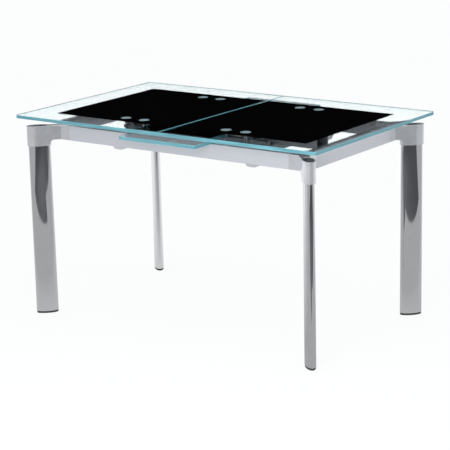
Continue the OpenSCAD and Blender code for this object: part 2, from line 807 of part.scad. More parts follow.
front_rail();
back_rail();
left_rail();
right_rail();
front_left_corner();
front_right_corner();
back_left_corner();
back_right_corner();
front_left_leg();
front_right_leg();
back_left_leg();
back_right_leg();
front_left_foot();
front_right_foot();
back_left_foot();
back_right_foot();
sleeve_caps();
leg_bolts();
rail_screws();
front_guide();
back_guide();
guide_hangers();
left_cross_bar();
right_cross_bar();
central_beam();
mechanism_bolts();
slide_stop_pins();
rack_guides();
pinion_shaft();
pinion_washer();
sync_pinion();
lift_brackets();
lift_bushes();
left_glass();
left_black_panel();
left_glass_discs();
left_posts();
left_post_nuts();
left_front_slider();
left_back_slider();
left_cross_tie();
left_tie_screws();
left_rack();
right_glass();
right_black_panel();
right_glass_discs();
right_posts();
right_post_nuts();
right_front_slider();
right_back_slider();
right_cross_tie();
right_tie_screws();
right_rack();
leaf_glass();
leaf_black_panel();
leaf_discs();
leaf_carrier();
leaf_screws();
leaf_guide_pins();
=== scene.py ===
"""Extending glass dining table: builds every visible piece, its finish and the studio round it.

The frame is loaded first and stays where it is. Lengths are in metres: +X runs along the table to
its right end, +Y to its back and +Z up, and the origin is on the floor under the table's centre.
"""

import json
import math

import bmesh
import bpy
from bpy.props import BoolProperty, FloatProperty, FloatVectorProperty, PointerProperty
from mathutils import Matrix, Vector


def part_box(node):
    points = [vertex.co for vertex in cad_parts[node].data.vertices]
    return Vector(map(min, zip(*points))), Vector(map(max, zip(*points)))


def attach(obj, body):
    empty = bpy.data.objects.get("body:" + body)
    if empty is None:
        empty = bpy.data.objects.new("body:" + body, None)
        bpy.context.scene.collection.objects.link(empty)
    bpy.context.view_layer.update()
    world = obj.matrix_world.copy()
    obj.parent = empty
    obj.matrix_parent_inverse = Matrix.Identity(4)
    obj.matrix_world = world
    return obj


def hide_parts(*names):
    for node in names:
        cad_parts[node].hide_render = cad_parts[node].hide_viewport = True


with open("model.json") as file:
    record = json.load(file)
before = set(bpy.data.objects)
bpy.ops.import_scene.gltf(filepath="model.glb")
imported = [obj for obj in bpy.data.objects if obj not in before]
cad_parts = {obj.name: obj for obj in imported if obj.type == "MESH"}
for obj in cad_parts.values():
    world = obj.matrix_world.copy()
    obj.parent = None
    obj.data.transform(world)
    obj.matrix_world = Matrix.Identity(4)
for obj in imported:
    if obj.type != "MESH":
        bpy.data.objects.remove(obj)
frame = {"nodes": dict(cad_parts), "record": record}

bl_info = {
    "name": "Extending Glass Dining Table",
    "version": (1, 0, 0),
    "blender": (4, 5, 0),
    "location": "3D View > Sidebar > Dining Table",
    "description": "Finished pieces, materials and studio for an extending glass dining table",
    "category": "Object",
}

MM = 0.001
MICRON = 0.001 * MM
SAME_POINT = 1e-6
# Degrees between neighbouring faces.
FLAT_BELOW = 0.5
EASED_ABOVE = 30
SMOOTH_BELOW = 33
CORNERS = ["front_left", "front_right", "back_left", "back_right"]
HALVES = ["left", "right"]
SLOT_OF = {part["node"]: part["material_slot"] for part in frame["record"]["subparts"]}
BODY_OF = {node: body for body, nodes in frame["record"]["behaviour"]["bodies"].items() for node in nodes}


# ---- Outlines: lists of 2D points, anticlockwise ----


def rectangle(low, high):
    """Corners of a rectangle between two opposite corners."""
    return [(low[0], low[1]), (high[0], low[1]), (high[0], high[1]), (low[0], high[1])]


def rounded(points, radius, steps=6):
    """The outline with its corners turned into arcs. radius is one length, or one for each corner."""
    radii = radius if hasattr(radius, "__len__") else [radius] * len(points)
    outline = []
    for i, r in enumerate(radii):
        before, here, after = (Vector(points[k % len(points)]) for k in (i - 1, i, i + 1))
        if r <= 0:
            outline.append(here)
            continue
        u, v = (before - here).normalized(), (after - here).normalized()
        half = u.angle(v) / 2
        centre = here + (u + v).normalized() * (r / math.sin(half))
        a, b = here + u * (r / math.tan(half)) - centre, here + v * (r / math.tan(half)) - centre
        sweep = a.angle(b)
        for k in range(steps + 1):
            t = sweep * k / steps
            spoke = (a * math.sin(sweep - t) + b * math.sin(t)) / math.sin(sweep)
            outline.append(centre + spoke)
    return outline


def round_outline(radius, count=48, centre=(0, 0)):
    """A circle's points."""
    turns = [2 * math.pi * k / count for k in range(count)]
    return [Vector((centre[0] + radius * math.cos(t), centre[1] + radius * math.sin(t))) for t in turns]


def hexagon(across_corners, count=48):
    """A hexagon with points along its sides too, so that it pairs with a circle."""
    points = []
    for k in range(count):
        t = 2 * math.pi * k / count
        side = (t % (math.pi / 3)) - math.pi / 6
        r = across_corners / 2 * math.cos(math.pi / 6) / math.cos(side)
        points.append(Vector((r * math.cos(t), r * math.sin(t))))
    return points


def inset(outline, distance):
    """The outline moved inwards by a distance, each side parallel to itself."""
    moved = []
    for i, here in enumerate(outline):
        before = (here - outline[i - 1]).normalized()
        after = (outline[(i + 1) % len(outline)] - here).normalized()
        n1, n2 = Vector((-before.y, before.x)), Vector((-after.y, after.x))
        moved.append(here + (n1 + n2) * (distance / (1 + n1.dot(n2))))
    return moved


# ---- Solids: each adds one closed body to a bmesh ----

UPRIGHT = Matrix.Identity(4)
ALONG_X = Matrix(((0, 0, 1, 0), (1, 0, 0, 0), (0, 1, 0, 0), (0, 0, 0, 1)))
ALONG_Y = Matrix(((0, 1, 0, 0), (0, 0, 1, 0), (1, 0, 0, 0), (0, 0, 0, 1)))


def skin(bm, rings, closed=False, bands=None):
    """Joins rings of points of equal length by quads. The two ends get flat caps, unless the rings meet in
    a loop. bands are the material places of the strips between rings."""
    made = [[bm.verts.new(p) for p in ring] for ring in rings]
    count = len(made[0])
    faces = []
    for i in range(len(made) if closed else len(made) - 1):
        a, b = made[i], made[(i + 1) % len(made)]
        for k in range(count):
            n = (k + 1) % count
            face = bm.faces.new((a[k], a[n], b[n], b[k]))
            face.material_index = bands[i] if bands else 0
            faces.append(face)
    if not closed:
        faces.append(bm.faces.new(list(reversed(made[0]))))
        faces.append(bm.faces.new(made[-1]))
    bmesh.ops.recalc_face_normals(bm, faces=faces)
    return faces


def eased_levels(low, high, ease, steps):
    """(inset, level) pairs up a wall whose two rims are rounded by ease."""
    if not ease:
        return [(0, low), (0, high)]
    turns = [math.pi / 2 * k / steps for k in range(steps + 1)]
    foot = [(ease * (1 - math.sin(t)), low + ease * (1 - math.cos(t))) for t in turns]
    return foot + [(i, low + high - z) for i, z in reversed(foot)]


def slab(bm, outline, low, high, ease=0.0, steps=3, hole=None, place=UPRIGHT, bands=(0, 0)):
    """Extrudes an outline from low to high with rounded rims. A hole has as many points as the outline.
    bands are the material places of the walls and of the rims."""
    levels = eased_levels(low, high, ease, steps)
    rings = [[place @ Vector((*p, z)) for p in inset(outline, i)] for i, z in levels]
    rim = len(levels) // 2 - 1
    kinds = [bands[0] if k == rim else bands[1] for k in range(len(levels) - 1)]
    if hole is None:
        return skin(bm, rings, bands=kinds)
    inner = [[place @ Vector((*p, z)) for p in inset(hole, -i)] for i, z in reversed(levels)]
    return skin(bm, rings + inner, closed=True, bands=kinds + [0] + kinds + [0])


def turned(bm, profile, place=UPRIGHT, count=40):
    """Turns (radius, height) points round the axis. Both ends are closed."""
    rings = []
    for r, z in profile:
        rings.append([place @ Vector((*p, z)) for p in round_outline(r, count)])
    return skin(bm, rings)


def oval_rings(bm, half_sizes, profile, place, count=144):
    """An oval body from (offset, height) points. The offset widens both half sizes."""
    a, b = half_sizes
    turns = [2 * math.pi * k / count for k in range(count)]
    rings = []
    for o, z in profile:
        rings.append([place @ Vector(((a + o) * math.cos(t), (b + o) * math.sin(t), z)) for t in turns])
    return skin(bm, rings)


def pierced_plate(bm, outline, holes, low, high):
    """A flat plate between two levels with round windows."""
    edges = []
    for loop in [outline, *holes]:
        ring = [bm.verts.new((*p, low)) for p in loop]
        edges += [bm.edges.new((ring[k - 1], ring[k])) for k in range(len(ring))]
    filled = bmesh.ops.triangle_fill(bm, edges=edges, use_beauty=True, use_dissolve=False)
    faces = [f for f in filled["geom"] if isinstance(f, bmesh.types.BMFace)]
    raised = bmesh.ops.extrude_face_region(bm, geom=faces, use_keep_orig=True)
    up = [v for v in raised["geom"] if isinstance(v, bmesh.types.BMVert)]
    bmesh.ops.translate(bm, verts=up, vec=(0, 0, high - low))
    bmesh.ops.recalc_face_normals(bm, faces=bm.faces)


# ---- Pieces ----


def settings():
    """The sizes, finishes and studio values that the panel shows."""
    return bpy.context.scene.dining_table


def mesh_from(bm, name):
    """A mesh from a bmesh, which is freed."""
    mesh = bpy.data.meshes.new(name)
    bm.to_mesh(mesh)
    bm.free()
    return mesh


def piece_from(bm, name, node, *materials):
    """Puts a bmesh in the scene as a piece that rides on its node's body and stands for the node. It gets
    the finish of the node's slot, unless materials are given."""
    bmesh.ops.recalc_face_normals(bm, faces=bm.faces)
    mesh = mesh_from(bm, name)
    for material in materials or [finish_of(SLOT_OF[node])]:
        mesh.materials.append(material)
    mesh.shade_smooth()
    mesh.set_sharp_from_angle(angle=math.radians(SMOOTH_BELOW))
    piece = bpy.data.objects.new(name, mesh)
    bpy.context.scene.collection.objects.link(piece)
    flatten = piece.modifiers.new("flat faces", "WEIGHTED_NORMAL")
    flatten.keep_sharp = True
    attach(piece, BODY_OF[node])
    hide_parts(node)
    return piece


def clean_copy(node):
    """A carried node's shape as a bmesh of whole flat faces."""
    bm = bmesh.new()
    bm.from_mesh(frame["nodes"][node].data)
    bmesh.ops.remove_doubles(bm, verts=bm.verts, dist=SAME_POINT)
    bmesh.ops.dissolve_limit(bm, angle_limit=math.radians(FLAT_BELOW), verts=bm.verts, edges=bm.edges)
    return bm


def upright_at(low, high):
    """Upright frame on the floor below the middle of a box."""
    middle = (low + high) / 2
    return Matrix.Translation((middle.x, middle.y, 0))


def solids_of(node):
    """The box of each separate solid in a carried node, as (lowest, highest corner)."""
    bm = clean_copy(node)
    left, boxes = set(bm.verts), []
    while left:
        start = left.pop()
        group, waiting = [start], [start]
        while waiting:
            for e in waiting.pop().link_edges:
                for v in e.verts:
                    if v in left:
                        left.discard(v)
                        group.append(v)
                        waiting.append(v)
        low = Vector(min(v.co[k] for v in group) for k in range(3))
        high = Vector(max(v.co[k] for v in group) for k in range(3))
        boxes.append((low, high))
    bm.free()
    return sorted(boxes, key=lambda b: tuple(round(x, 4) for x in b[0]))


def eased_piece(node, name, ease):
    """A piece with a carried node's shape and its outer edges broken by a small round."""
    bm = clean_copy(node)
    sharp = math.radians(EASED_ABOVE)
    edges = [e for e in bm.edges if len(e.link_faces) == 2 and e.calc_face_angle_signed(0) > sharp]
    bmesh.ops.bevel(bm, geom=edges, offset=ease, offset_type="OFFSET", segments=2, profile=0.5,
                    affect="EDGES", clamp_overlap=True)
    return piece_from(bm, name, node)


# ---- Finishes ----


def scaled(colour, factor):
    return tuple(min(1.0, c * factor) for c in colour)


class Finish:
    """A material under construction: its tree, its main shader and the frame's coordinates."""

    def __init__(self, name, **values):
        """values are the main shader's. An underscore stands for a space."""
        self.material = bpy.data.materials.new(name + "_finish")
        self.material.use_nodes = True
        self.tree = self.material.node_tree
        self.shader = next(n for n in self.tree.nodes if n.type == "BSDF_PRINCIPLED")
        self.output = next(n for n in self.tree.nodes if n.type == "OUTPUT_MATERIAL")
        self.where = self.node("ShaderNodeTexCoord").outputs["Object"]
        for key, value in values.items():
            self.shader.inputs[key.replace("_", " ")].default_value = value

    def node(self, kind, **values):
        """A new node with settings on it. Names that are sockets set their values."""
        made = self.tree.nodes.new(kind)
        for key, value in values.items():
            if key in made.inputs:
                made.inputs[key].default_value = value
            else:
                setattr(made, key, value)
        return made

    def link(self, start, end):
        self.tree.links.new(start, end)

    def noise(self, scale, detail=3.0, stretch=(1, 1, 1)):
        """Noise in the frame's coordinates, in features of about 1/scale metres."""
        mapping = self.node("ShaderNodeMapping")
        mapping.inputs["Scale"].default_value = stretch
        self.link(self.where, mapping.inputs["Vector"])
        made = self.node("ShaderNodeTexNoise", Scale=scale, Detail=detail, Roughness=0.5)
        self.link(mapping.outputs["Vector"], made.inputs["Vector"])
        return made.outputs["Fac"]

    def cells(self, scale):
        """Random value for each small cell."""
        made = self.node("ShaderNodeTexVoronoi", Scale=scale)
        self.link(self.where, made.inputs["Vector"])
        split = self.node("ShaderNodeSeparateColor")
        self.link(made.outputs["Color"], split.inputs["Color"])
        return split.outputs["Red"]

    def maths(self, operation, first, second):
        """Maths on two values."""
        made = self.node("ShaderNodeMath", operation=operation, use_clamp=True)
        self.link(first, made.inputs[0])
        self.link(second, made.inputs[1])
        return made.outputs["Value"]

    def seen_by(self, *kinds):
        """1 for the given kinds of ray, 0 for the others."""
        ray = self.node("ShaderNodeLightPath")
        value = ray.outputs["Is %s Ray" % kinds[0]]
        for kind in kinds[1:]:
            value = self.maths("MAXIMUM", value, ray.outputs["Is %s Ray" % kind])
        return value

    def mixed(self, share, first, second):
        """Mixes two shaders. share is the second one's part."""
        made = self.node("ShaderNodeMixShader")
        self.link(share, made.inputs["Fac"])
        self.link(first, made.inputs[1])
        self.link(second, made.inputs[2])
        return made.outputs["Shader"]

    def between(self, value, low, high, start=0.3, end=0.7):
        """Maps a value onto the range from low to high."""
        made = self.node("ShaderNodeMapRange")
        made.inputs["From Min"].default_value, made.inputs["From Max"].default_value = start, end
        made.inputs["To Min"].default_value, made.inputs["To Max"].default_value = low, high
        self.link(value, made.inputs["Value"])
        return made.outputs["Result"]

    def colours(self, value, colour, darkest, lightest, start=0.3, end=0.7):
        """Varies a colour by a value, between two factors."""
        made = self.node("ShaderNodeMix", data_type="RGBA")
        self.link(self.between(value, 0.0, 1.0, start, end), made.inputs["Factor"])
        made.inputs[6].default_value = (*scaled(colour, darkest), 1)
        made.inputs[7].default_value = (*scaled(colour, lightest), 1)
        self.link(made.outputs[2], self.shader.inputs["Base Color"])

    def roughness(self, value, low, high):
        self.link(self.between(value, low, high), self.shader.inputs["Roughness"])

    def relief(self, value, height, strength=1.0):
        """Surface relief of a real height in metres."""
        bump = self.node("ShaderNodeBump", Strength=strength, Distance=height)
        self.link(value, bump.inputs["Height"])
        self.link(bump.outputs["Normal"], self.shader.inputs["Normal"])


def clear_glass(colour):
    """Clear tempered glass. Light on its way to other pieces goes straight through it."""
    f = Finish("clear_glass", Transmission_Weight=1.0, IOR=1.5)
    f.colours(f.noise(1.6, detail=1.0), colour, 1.0, 1.012)
    f.roughness(f.noise(9.0, detail=2.0), 0.0, 0.002)
    through = f.node("ShaderNodeBsdfTransparent", Color=(*scaled(colour, 1.02), 1))
    whole = f.mixed(f.seen_by("Shadow", "Diffuse"), f.shader.outputs["BSDF"], through.outputs["BSDF"])
    f.link(whole, f.output.inputs["Surface"])
    return f.material


def glass_edge(name, colour, painted_highlight_gain):
    """Polished edge of the glass, sea-green where the light has crossed the whole sheet. A brightness
    factor above 1 makes it lighter: a painted highlight, as on the arris.
    """
    f = Finish(name, Metallic=0.0, IOR=1.5, Specular_IOR_Level=0.5)
    streaks = f.noise(26.0, detail=4.0, stretch=(0.35, 0.35, 6.0))
    f.colours(streaks, colour, 0.78 * painted_highlight_gain, 1.22 * painted_highlight_gain)
    f.roughness(f.noise(160.0, detail=2.0), 0.06, 0.2)
    f.relief(f.noise(420.0, detail=2.0), 20 * MICRON)
    return f.material


def black_lacquer(colour):
    f = Finish("black_lacquer", Specular_IOR_Level=0.0)
    f.colours(f.noise(5.0), colour, 1.0, 1.6)
    f.roughness(f.noise(40.0), 0.25, 0.4)
    return f.material


def bonding_disc(colour):
    f = Finish("frosted_disc", Metallic=0.55)
    f.colours(f.noise(260.0), colour, 0.9, 1.08)
    f.roughness(f.noise(700.0), 0.36, 0.5)
    f.relief(f.noise(1500.0, detail=2.0), 10 * MICRON)
    return f.material


def polished_chrome(colour):
    f = Finish("chrome", Metallic=1.0)
    f.colours(f.noise(14.0, detail=2.0), colour, 0.96, 1.0)
    f.roughness(f.noise(60.0, detail=4.0, stretch=(1, 1, 0.25)), 0.03, 0.075)
    f.relief(f.noise(16.0, detail=1.0, stretch=(1, 1, 0.3)), 120 * MICRON, strength=0.5)
    return f.material


def satin_casting(colour):
    f = Finish("satin_aluminium", Metallic=0.75)
    f.colours(f.noise(30.0, detail=5.0), colour, 0.93, 1.04)
    f.roughness(f.noise(420.0, detail=4.0), 0.17, 0.27)
    f.relief(f.noise(1300.0), 3 * MICRON)
    return f.material


def silver_paint(colour):
    f = Finish("silver_lacquer", Metallic=0.45, Coat_Weight=0.25, Coat_Roughness=0.2)
    f.colours(f.cells(2600.0), colour, 0.95, 1.05, 0.0, 1.0)
    f.roughness(f.noise(120.0, detail=4.0), 0.28, 0.4)
    f.relief(f.noise(650.0, detail=2.0), 8 * MICRON)
    return f.material


def powder_coat(colour):
    f = Finish("grey_steel", Metallic=0.2, Specular_IOR_Level=0.5)
    f.colours(f.noise(90.0, detail=4.0), colour, 0.9, 1.08)
    f.roughness(f.noise(300.0), 0.4, 0.55)
    f.relief(f.noise(1100.0, detail=2.0), 15 * MICRON)
    return f.material


def zinc_plate(colour):
    f = Finish("zinc_steel", Metallic=1.0)
    f.colours(f.cells(900.0), colour, 0.86, 1.1, 0.0, 1.0)
    f.roughness(f.noise(350.0, detail=4.0), 0.24, 0.42)
    f.relief(f.noise(1600.0), 12 * MICRON)
    return f.material


def moulded_nylon(colour):
    f = Finish("white_nylon", Subsurface_Weight=0.15, Subsurface_Scale=0.003)
    f.colours(f.noise(45.0), colour, 0.94, 1.02)
    f.roughness(f.noise(240.0), 0.38, 0.52)
    f.relief(f.noise(900.0, detail=2.0), 20 * MICRON)
    return f.material


def moulded_black(name, colour, rough, grain):
    """Black plastic or rubber with a moulded grain."""
    f = Finish(name)
    f.colours(f.noise(120.0, detail=4.0), colour, 1.0, 1.7)
    f.roughness(f.noise(500.0), rough[0], rough[1])
    f.relief(f.noise(1800.0, detail=2.0), grain)
    return f.material


def finish_of(slot):
    """The material for a slot of the record, made once."""
    made = bpy.data.materials.get(slot + "_finish")
    if made:
        return made
    c = settings().finishes
    makers = {
        "clear_glass": lambda: clear_glass(c.glass),
        "glass_edge": lambda: glass_edge("glass_edge", c.edge, 1.0),
        # The arris takes the edge's sea-green 1.5 times brighter: a painted highlight along the ground
        # bevel.
        "glass_arris": lambda: glass_edge("glass_arris", c.edge, 1.5),
        "black_lacquer": lambda: black_lacquer(c.lacquer),
        "frosted_disc": lambda: bonding_disc(c.disc),
        "chrome": lambda: polished_chrome(c.chrome),
        "satin_aluminium": lambda: satin_casting(c.casting),
        "silver_lacquer": lambda: silver_paint(c.rail),
        "grey_steel": lambda: powder_coat(c.steel),
        "zinc_steel": lambda: zinc_plate(c.zinc),
        "white_nylon": lambda: moulded_nylon(c.nylon),
        "black_plastic": lambda: moulded_black("black_plastic", c.cap, (0.34, 0.5), 30 * MICRON),
        "foot_rubber": lambda: moulded_black("foot_rubber", c.rubber, (0.6, 0.8), 50 * MICRON),
    }
    return makers[slot]()


# ---- Values shown in the panel ----


def length(name, about, default):
    """A length of the table, in metres."""
    return FloatProperty(
        name=name, description=about, default=default, min=0.0, subtype="DISTANCE", unit="LENGTH")


def colour(name, about, default):
    """A colour, as red, green and blue."""
    return FloatVectorProperty(
        name=name, description=about, default=default, min=0.0, max=1.0, size=3, subtype="COLOR")


def angle(name, about, degrees):
    """An angle, given in degrees."""
    return FloatProperty(
        name=name, description=about, default=math.radians(degrees), subtype="ANGLE", unit="ROTATION")


class TableSizes(bpy.types.PropertyGroup):
    glass_corner: length("Glass corner", "Radius of the outer corners of the glass", 10 * MM)
    arris: length("Arris", "Width of the ground bevel along the glass edges", 1.0 * MM)
    bond: length("Bond", "How far lacquer and discs sit in the underside of the glass", 0.05 * MM)
    rail_round: length("Rail edges", "Radius of the rails' long edges", 2.2 * MM)
    rail_wall: length("Rail wall", "Wall of the rail tubes", 2 * MM)
    casting_round: length("Casting edges", "Radius of the corner castings' edges", 1.8 * MM)
    fillet: length("Neck fillet", "Radius under the neck, where it runs down into the sleeve", 16 * MM)
    sheet_ease: length("Sheet edges", "Round along the edges of the steel sheet pieces", 0.6 * MM)
    neck_width: length("Neck width", "Width of the neck between a sleeve and the rails", 34 * MM)
    leg_width: length("Leg, long size", "Long size of the oval legs", 82 * MM)
    leg_depth: length("Leg, short size", "Short size of the oval legs", 36.6 * MM)
    sleeve_wall: length("Sleeve wall", "Wall of the sleeve round the top of a leg", 3.8 * MM)
    leg_wall: length("Leg wall", "Wall of the leg tubes", 2 * MM)


class TableFinishes(bpy.types.PropertyGroup):
    glass: colour("Glass", "Tint of the clear glass", (0.90, 0.955, 0.965))
    edge: colour("Glass edge", "Sea-green of the polished edges", (0.115, 0.30, 0.355))
    lacquer: colour("Lacquer", "Black lacquer under the glass", (0.0009, 0.0009, 0.0011))
    disc: colour("Discs", "Bonding discs", (0.52, 0.66, 0.72))
    chrome: colour("Chrome", "Legs and posts", (0.80, 0.81, 0.83))
    casting: colour("Castings", "Corner castings and hangers", (0.75, 0.76, 0.80))
    rail: colour("Rails", "Silver paint of the rails", (0.60, 0.61, 0.66))
    steel: colour("Steel", "Grey powder coat of the mechanism", (0.40, 0.43, 0.46))
    zinc: colour("Zinc", "Plated screws, bolts and racks", (0.60, 0.61, 0.63))
    nylon: colour("Nylon", "Pinion, bushes and rack guides", (0.80, 0.80, 0.74))
    cap: colour("Sleeve caps", "Plastic caps on the sleeves", (0.022, 0.023, 0.026))
    rubber: colour("Feet", "Rubber of the feet", (0.03, 0.03, 0.03))


class TableStudio(bpy.types.PropertyGroup):
    camera_place: FloatVectorProperty(name="Camera", description="Place of the camera", size=3,
                                      default=(3.471, -4.834, 1.899), subtype="TRANSLATION", unit="LENGTH")
    azimuth: angle("Azimuth", "Direction of the camera round the table", 35.70)
    elevation: angle("Elevation", "Height of the camera above the horizon", 14.68)
    roll: angle("Roll", "Tilt of the camera round its own axis", -1.27)
    lens: FloatProperty(name="Lens", description="Focal length on a 36 mm sensor", default=133.2, min=1.0)
    backdrop: colour("Backdrop", "Colour of the room behind the table", (1.0, 1.0, 1.0))
    floor: colour("Floor", "Colour of the floor", (0.985, 1.0, 1.0))
    # Dark sheets that only mirror images and the glass show: painted dark reflections.
    painted_dark_reflections: BoolProperty(name="Dark surround", default=True,
                                description="Dark cloths that only mirror images and the glass show")


class TableSettings(bpy.types.PropertyGroup):
    sizes: PointerProperty(type=TableSizes, name="Sizes", description="Sizes of edges, walls and corners")
    finishes: PointerProperty(type=TableFinishes, name="Finishes", description="Colours of the materials")
    studio: PointerProperty(type=TableStudio, name="Studio", description="Camera, floor and light")


# ---- Top ----


def glass_sheet(node, name, corner_radii):
    """A sheet of glass with ground rims, as large as its carried node. The corners' radii run from the
    left front corner to the right front one, and on round."""
    s = settings().sizes
    low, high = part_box(node)
    outline = rounded(rectangle(low, high), corner_radii, steps=8)
    bm = bmesh.new()
    slab(bm, outline, low.z, high.z, ease=s.arris, steps=2, bands=(1, 2))
    finishes = [finish_of(slot) for slot in ("clear_glass", "glass_edge", "glass_arris")]
    return piece_from(bm, name, node, *finishes)


class DINING_OT_glass(bpy.types.Operator):
    """The two upper halves and the stored leaf, with their polished sea-green edges"""

    bl_idname = "dining_table.glass"
    bl_label = "Glass sheets"

    def execute(self, context):
        big, small = settings().sizes.glass_corner, 1.2 * MM
        glass_sheet("left_glass", "left_glass_sheet", (big, small, small, big))
        glass_sheet("right_glass", "right_glass_sheet", (small, big, big, small))
        glass_sheet("leaf_glass", "leaf_glass_sheet", (small, small, small, small))
        return {"FINISHED"}


def lacquer_panel(node, discs, name, gap=0.2 * MM):
    """The lacquered field under a sheet of glass, with a window round each disc."""
    bond = settings().sizes.bond
    low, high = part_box(node)
    windows = []
    for a, b in solids_of(discs):
        centre = (a + b) / 2
        windows.append(round_outline((b.x - a.x) / 2 + gap, 64, centre))
    bm = bmesh.new()
    pierced_plate(bm, rounded(rectangle(low, high), 1.5 * MM, 3), windows, low.z, high.z + bond)
    return piece_from(bm, name, node)


class DINING_OT_lacquer(bpy.types.Operator):
    """The black lacquered fields under the halves and the leaf"""

    bl_idname = "dining_table.lacquer"
    bl_label = "Black lacquer"

    def execute(self, context):
        for side in HALVES:
            lacquer_panel(side + "_black_panel", side + "_glass_discs", side + "_lacquer_field")
        lacquer_panel("leaf_black_panel", "leaf_discs", "leaf_lacquer_field")
        return {"FINISHED"}


class DINING_OT_discs(bpy.types.Operator):
    """Discs bonded under the glass, with a chamfered rim"""

    bl_idname = "dining_table.discs"
    bl_label = "Bonding discs"

    def execute(self, context):
        bond, rim = settings().sizes.bond, 0.7 * MM
        for node in ("left_glass_discs", "right_glass_discs", "leaf_discs"):
            bm = bmesh.new()
            for low, high in solids_of(node):
                r, top = (high.x - low.x) / 2, high.z + bond
                turned(bm, [
                    (r - rim, low.z), (r - 0.2 * rim, low.z + 0.2 * rim), (r, low.z + rim),
                    (r, top - 0.3 * rim), (r - 0.3 * rim, top),
                ], upright_at(low, high), count=72)
            piece_from(bm, node.replace("glass_", "") + "_turned", node)
        return {"FINISHED"}


class DINING_OT_posts(bpy.types.Operator):
    """Chrome posts between the sliders and the discs, and the nuts below them"""

    bl_idname = "dining_table.posts"
    bl_label = "Posts and nuts"

    collar = 6 * MM
    slider_plate = 6 * MM
    ease = 0.5 * MM
    post_radius = 5.5 * MM
    stud_radius = 4 * MM
    nut_clearance = 0.05 * MM

    def execute(self, context):
        e, r, stud = self.ease, self.post_radius, self.stud_radius
        for side in HALVES:
            nuts = solids_of(side + "_post_nuts")
            shoulder = nuts[0][1].z + self.slider_plate
            top = shoulder + self.collar
            bm = bmesh.new()
            for low, high in solids_of(side + "_posts"):
                wide = (high.x - low.x) / 2
                turned(bm, [
                    (stud - e, low.z), (stud, low.z + e), (stud, shoulder), (wide - e, shoulder),
                    (wide, shoulder + e), (wide, top - e), (wide - e, top), (r + e, top), (r, top + e),
                    (r, high.z - e), (r - e, high.z),
                ], upright_at(low, high), count=48)
            piece_from(bm, side + "_posts_turned", side + "_posts")
            bm = bmesh.new()
            for low, high in nuts:
                slab(bm, hexagon(high.x - low.x), low.z, high.z, ease=e, steps=2,
                     hole=round_outline(stud + self.nut_clearance), place=upright_at(low, high))
            piece_from(bm, side + "_post_nuts_cut", side + "_post_nuts")
        return {"FINISHED"}


# ---- Frame and legs ----


def corner_place(corner):
    """The frame at a leg's middle, with its X axis outwards along the diagonal."""
    low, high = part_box(corner + "_leg")
    middle = (low + high) / 2
    turn = Matrix.Rotation(math.atan2(math.copysign(1, middle.y), math.copysign(1, middle.x)), 4, "Z")
    return Matrix.Translation((middle.x, middle.y, 0)) @ turn


def leg_halves():
    s = settings().sizes
    return s.leg_width / 2, s.leg_depth / 2


class DINING_OT_rails(bpy.types.Operator):
    """The four rails: painted tubes with rounded long edges"""

    bl_idname = "dining_table.rails"
    bl_label = "Rails"

    inner_round = 0.7 * MM
    cut_end = 0.35 * MM

    def execute(self, context):
        s = settings().sizes
        for side, place in (("front", ALONG_X), ("back", ALONG_X), ("left", ALONG_Y), ("right", ALONG_Y)):
            low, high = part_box(side + "_rail")
            a, b = place.inverted() @ low, place.inverted() @ high
            outer = rounded(rectangle(a, b), s.rail_round, 5)
            w = Vector((s.rail_wall, s.rail_wall, 0))
            hole = rounded(rectangle(a + w, b - w), self.inner_round, 5)
            bm = bmesh.new()
            slab(bm, outer, a.z, b.z, ease=self.cut_end, steps=2, hole=hole, place=place)
            piece_from(bm, side + "_rail_tube", side + "_rail")
        return {"FINISHED"}


def carved(solids, cutters):
    """One closed bmesh: the solids joined, then the cutters taken away."""
    made = []
    for bm in solids + cutters:
        made.append(bpy.data.objects.new("part", mesh_from(bm, "part")))
        bpy.context.scene.collection.objects.link(made[-1])
    for k, other in enumerate(made[1:], 1):
        step = made[0].modifiers.new("step", "BOOLEAN")
        step.operation = "UNION" if k < len(solids) else "DIFFERENCE"
        step.solver, step.object = "EXACT", other
    shape = made[0].evaluated_get(bpy.context.evaluated_depsgraph_get()).to_mesh()
    whole = bmesh.new()
    whole.from_mesh(shape)
    bmesh.ops.remove_doubles(whole, verts=whole.verts, dist=2 * SAME_POINT)
    bmesh.ops.dissolve_degenerate(whole, edges=whole.edges, dist=2 * SAME_POINT)
    for o in made:
        mesh = o.data
        bpy.data.objects.remove(o)
        bpy.data.meshes.remove(mesh)
    return whole


